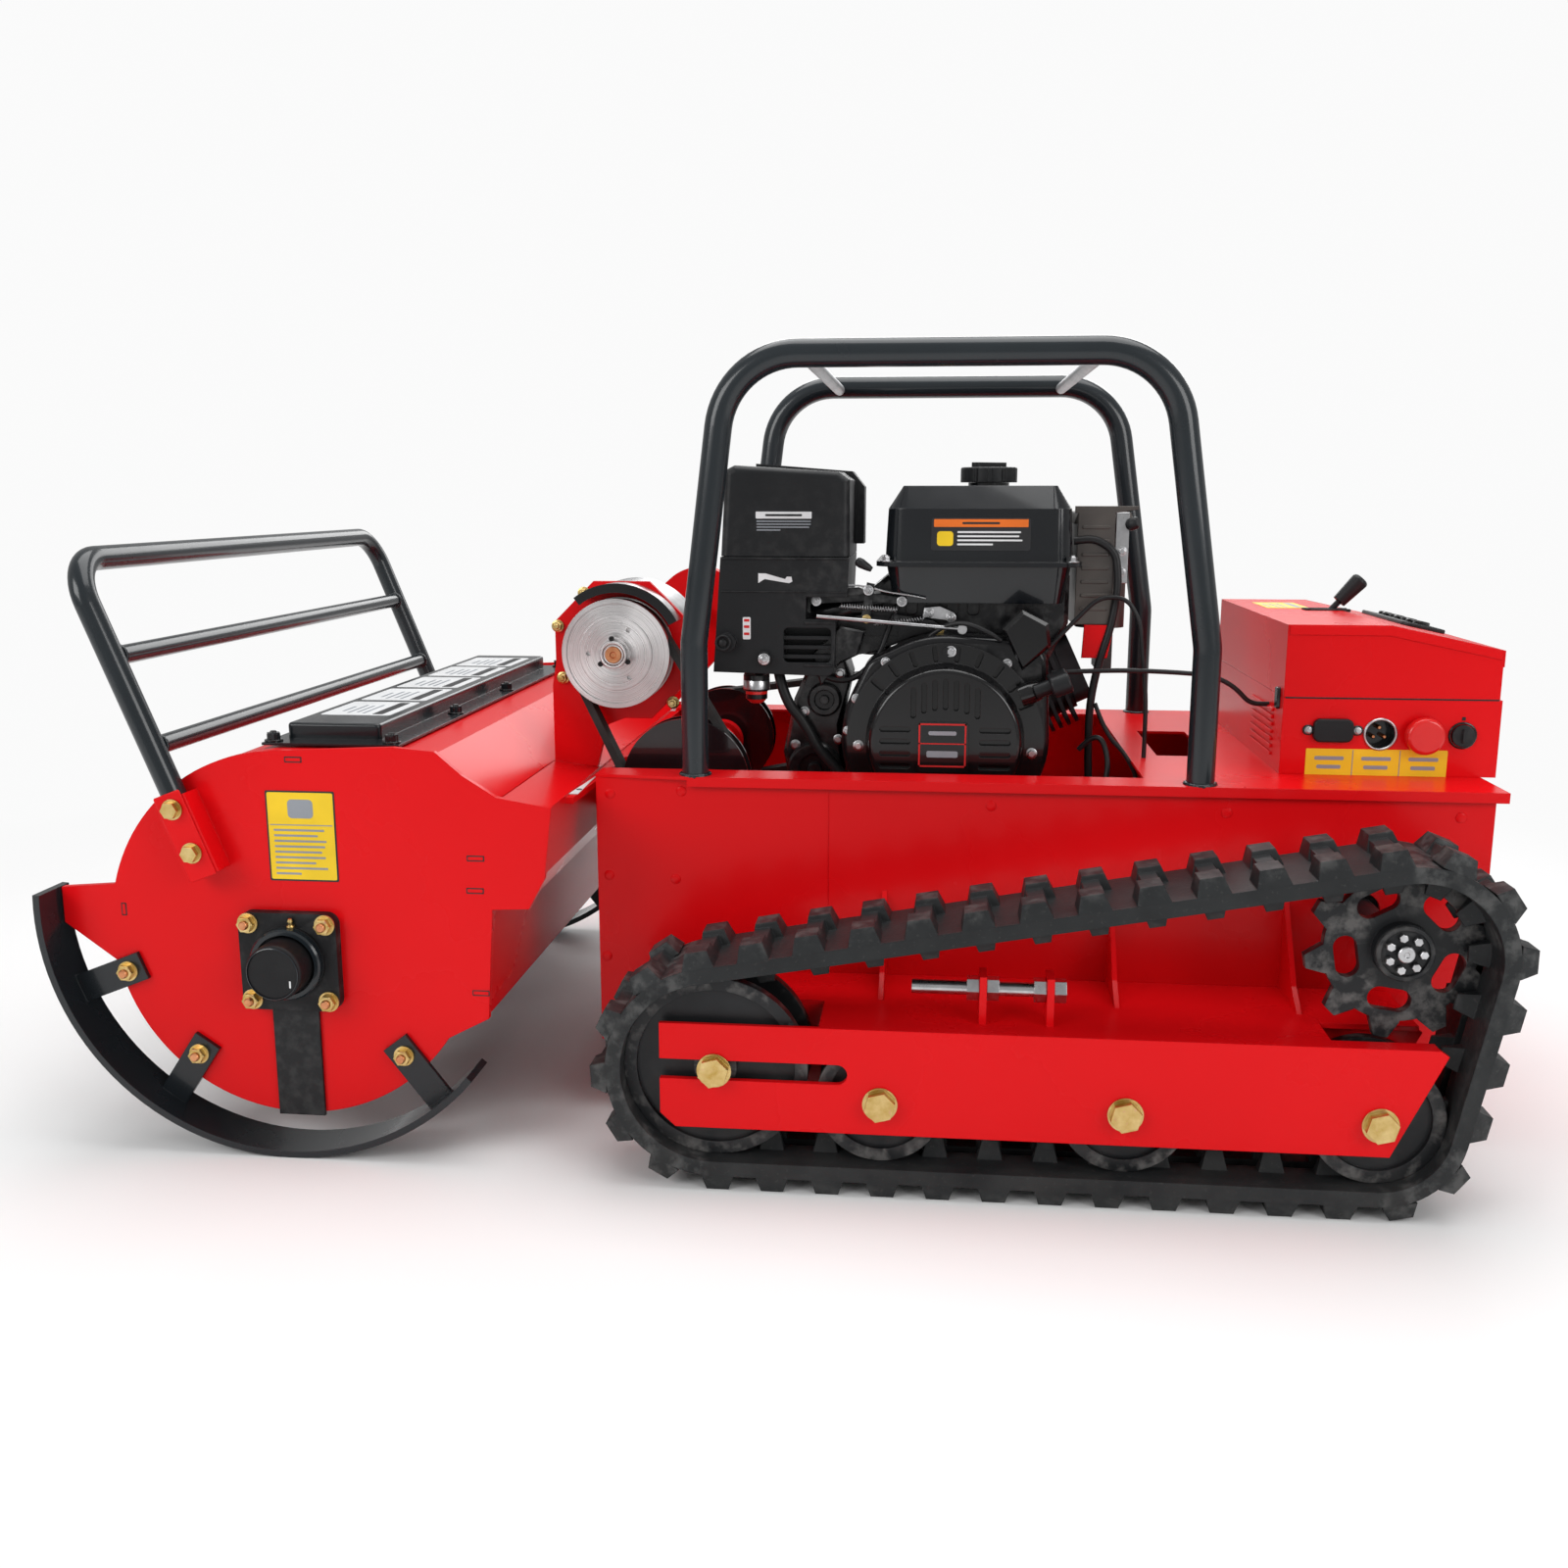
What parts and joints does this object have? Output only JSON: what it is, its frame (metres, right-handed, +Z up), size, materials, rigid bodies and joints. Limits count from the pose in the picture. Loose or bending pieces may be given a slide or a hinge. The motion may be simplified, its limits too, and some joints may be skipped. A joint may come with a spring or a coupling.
{
  "type": "stump grinder",
  "caption": "Tracked walk-behind carrier with a petrol engine and a front-mounted enclosed grinding drum head on skids.",
  "frame": {"origin": "centre of the footprint of the whole machine, on the floor", "axes": "+X towards the control box at the tail, -X towards the grinding head, -Y is the machine's left side with the starter, +Z up"},
  "size_m": [1.69, 1, 0.934],
  "materials": {
    "red_body": "gloss powder coat",
    "dark_tube": "semi-gloss powder coat",
    "track_rubber": "matt moulded rubber",
    "wheel_paint": "satin paint",
    "bright_steel": "machined",
    "zinc_steel": "yellow zinc plating",
    "cast_dark": "sand cast, painted",
    "engine_alloy": "die cast",
    "black_plastic": "moulded, fine texture",
    "tank_paint": "gloss paint",
    "grey_bar": "satin paint",
    "signal_red": "gloss",
    "belt_rubber": "fabric covered rubber",
    "cable_rubber": "smooth sheath",
    "heat_metal": "heat darkened",
    "tooth_steel": "forged with carbide tips"
  },
  "bodies": {
    "carrier": {"track_belt_left": "track_rubber", "track_belt_right": "track_rubber", "track_frame_left": "red_body", "track_frame_right": "red_body", "axle_bolts": "zinc_steel", "tension_screws": "zinc_steel", "drive_motors": "cast_dark", "hull_tub": "red_body", "top_deck": "red_body", "hoop_left": "dark_tube", "hoop_right": "dark_tube", "hoop_crossbars": "grey_bar", "crankcase": "engine_alloy", "cylinder": "engine_alloy", "fan_cover": "black_plastic", "recoil_cover": "black_plastic", "fuel_tank": "tank_paint", "air_filter_base": "black_plastic", "air_filter_cover": "black_plastic", "carburettor": "engine_alloy", "muffler": "heat_metal", "control_box": "red_body", "battery": "black_plastic", "control_cables": "cable_rubber", "engine_belt": "belt_rubber"},
    "head": {"head_shell": "red_body", "head_side_left": "red_body", "head_side_right": "red_body", "lift_frame": "red_body", "head_cover": "red_body", "flange_bearings": "cast_dark", "skids": "red_body", "guard_rail": "dark_tube", "head_bolts": "zinc_steel", "slot_covers": "zinc_steel", "belt_case": "red_body", "head_belt": "belt_rubber"},
    "drum": {"grinding_drum": "cast_dark", "drum_teeth": "tooth_steel"},
    "clutch_pulley": {"clutch_pulley": "bright_steel"},
    "layshaft": {"layshaft": "bright_steel"},
    "engine_pulley": {"engine_pulley": "bright_steel"},
    "sprocket_left": {"sprocket_left": "bright_steel"},
    "idler_left": {"idler_left": "wheel_paint"},
    "roller_front_left": {"roller_front_left": "wheel_paint"},
    "roller_middle_left": {"roller_middle_left": "wheel_paint"},
    "roller_rear_left": {"roller_rear_left": "wheel_paint"},
    "sprocket_right": {"sprocket_right": "bright_steel"},
    "idler_right": {"idler_right": "wheel_paint"},
    "roller_front_right": {"roller_front_right": "wheel_paint"},
    "roller_middle_right": {"roller_middle_right": "wheel_paint"},
    "roller_rear_right": {"roller_rear_right": "wheel_paint"},
    "control_lid": {"control_lid": "red_body"},
    "drive_lever": {"drive_lever": "black_plastic"},
    "socket_cover": {"socket_cover": "belt_rubber"},
    "stop_button": {"stop_button": "signal_red"},
    "key_switch": {"key_switch": "bright_steel"},
    "fuel_cap": {"fuel_cap": "black_plastic"},
    "recoil_handle": {"recoil_handle": "black_plastic"},
    "throttle_rod": {"throttle_rod": "bright_steel"}
  },
  "joints": [
    {"name": "head_lift", "type": "hinge", "parent": "carrier", "child": "head", "pos_m": [-0.128, 0, 0.405], "axis": [0, 1, 0], "range_deg": [0, 10]},
    {"name": "drum_spin", "type": "hinge", "parent": "head", "child": "drum", "pos_m": [-0.555, 0, 0.23], "axis": [0, 1, 0], "continuous": true},
    {"name": "clutch_spin", "type": "hinge", "parent": "head", "child": "clutch_pulley", "pos_m": [-0.214, 0, 0.566], "axis": [0, 1, 0], "continuous": true},
    {"name": "layshaft_spin", "type": "hinge", "parent": "carrier", "child": "layshaft", "pos_m": [-0.128, 0, 0.405], "axis": [0, 1, 0], "continuous": true},
    {"name": "engine_spin", "type": "hinge", "parent": "carrier", "child": "engine_pulley", "pos_m": [0.195, 0, 0.459], "axis": [0, 1, 0], "continuous": true},
    {"name": "sprocket_left_spin", "type": "hinge", "parent": "carrier", "child": "sprocket_left", "pos_m": [0.679, -0.44, 0.288], "axis": [0, 1, 0], "continuous": true},
    {"name": "idler_left_spin", "type": "hinge", "parent": "carrier", "child": "idler_left", "pos_m": [-0.052, -0.44, 0.138], "axis": [0, 1, 0], "continuous": true},
    {"name": "roller_front_left_spin", "type": "hinge", "parent": "carrier", "child": "roller_front_left", "pos_m": [0.131, -0.44, 0.106], "axis": [0, 1, 0], "continuous": true},
    {"name": "roller_middle_left_spin", "type": "hinge", "parent": "carrier", "child": "roller_middle_left", "pos_m": [0.395, -0.44, 0.106], "axis": [0, 1, 0], "continuous": true},
    {"name": "roller_rear_left_spin", "type": "hinge", "parent": "carrier", "child": "roller_rear_left", "pos_m": [0.66, -0.44, 0.106], "axis": [0, 1, 0], "continuous": true},
    {"name": "sprocket_right_spin", "type": "hinge", "parent": "carrier", "child": "sprocket_right", "pos_m": [0.679, 0.44, 0.288], "axis": [0, 1, 0], "continuous": true},
    {"name": "idler_right_spin", "type": "hinge", "parent": "carrier", "child": "idler_right", "pos_m": [-0.052, 0.44, 0.138], "axis": [0, 1, 0], "continuous": true},
    {"name": "roller_front_right_spin", "type": "hinge", "parent": "carrier", "child": "roller_front_right", "pos_m": [0.131, 0.44, 0.106], "axis": [0, 1, 0], "continuous": true},
    {"name": "roller_middle_right_spin", "type": "hinge", "parent": "carrier", "child": "roller_middle_right", "pos_m": [0.395, 0.44, 0.106], "axis": [0, 1, 0], "continuous": true},
    {"name": "roller_rear_right_spin", "type": "hinge", "parent": "carrier", "child": "roller_rear_right", "pos_m": [0.66, 0.44, 0.106], "axis": [0, 1, 0], "continuous": true},
    {"name": "lid_hinge", "type": "hinge", "parent": "carrier", "child": "control_lid", "pos_m": [0.845, 0, 0.5235], "axis": [0, 1, 0], "range_deg": [0, 80]},
    {"name": "lever_tilt", "type": "hinge", "parent": "control_lid", "child": "drive_lever", "pos_m": [0.69, 0.02, 0.598], "axis": [0, 1, 0], "range_deg": [-70, 0]},
    {"name": "socket_cover_hinge", "type": "hinge", "parent": "carrier", "child": "socket_cover", "pos_m": [0.654, -0.2113, 0.4995], "axis": [-1, 0, 0], "range_deg": [0, 90]},
    {"name": "stop_press", "type": "slide", "parent": "carrier", "child": "stop_button", "axis": [0, 1, 0], "range_m": [0, 0.005], "stiffness_N_per_m": 800},
    {"name": "key_turn", "type": "hinge", "parent": "carrier", "child": "key_switch", "pos_m": [0.803, -0.211, 0.481], "axis": [0, 1, 0], "range_deg": [0, 90]},
    {"name": "fuel_cap_turn", "type": "hinge", "parent": "carrier", "child": "fuel_cap", "pos_m": [0.245, -0.057, 0.775], "axis": [0, 0, 1], "range_deg": [0, 90]},
    {"name": "recoil_pull", "type": "slide", "parent": "carrier", "child": "recoil_handle", "axis": [0.9298, 0, 0.3681], "range_m": [0, 0.12], "stiffness_N_per_m": 100},
    {"name": "throttle_slide", "type": "slide", "parent": "carrier", "child": "throttle_rod", "axis": [0.9969, 0, -0.078], "range_m": [-0.004, 0.004]}
  ],
  "couplings": [
    {"joint": "clutch_spin", "follows": "drum_spin", "ratio": 1.1667},
    {"joint": "layshaft_spin", "follows": "drum_spin", "ratio": 1.0076},
    {"joint": "engine_spin", "follows": "drum_spin", "ratio": 1.2091},
    {"joint": "idler_left_spin", "follows": "sprocket_left_spin", "ratio": 0.85},
    {"joint": "roller_front_left_spin", "follows": "sprocket_left_spin", "ratio": 1.335},
    {"joint": "roller_middle_left_spin", "follows": "sprocket_left_spin", "ratio": 1.335},
    {"joint": "roller_rear_left_spin", "follows": "sprocket_left_spin", "ratio": 1.335},
    {"joint": "idler_right_spin", "follows": "sprocket_right_spin", "ratio": 0.85},
    {"joint": "roller_front_right_spin", "follows": "sprocket_right_spin", "ratio": 1.335},
    {"joint": "roller_middle_right_spin", "follows": "sprocket_right_spin", "ratio": 1.335},
    {"joint": "roller_rear_right_spin", "follows": "sprocket_right_spin", "ratio": 1.335}
  ]
}
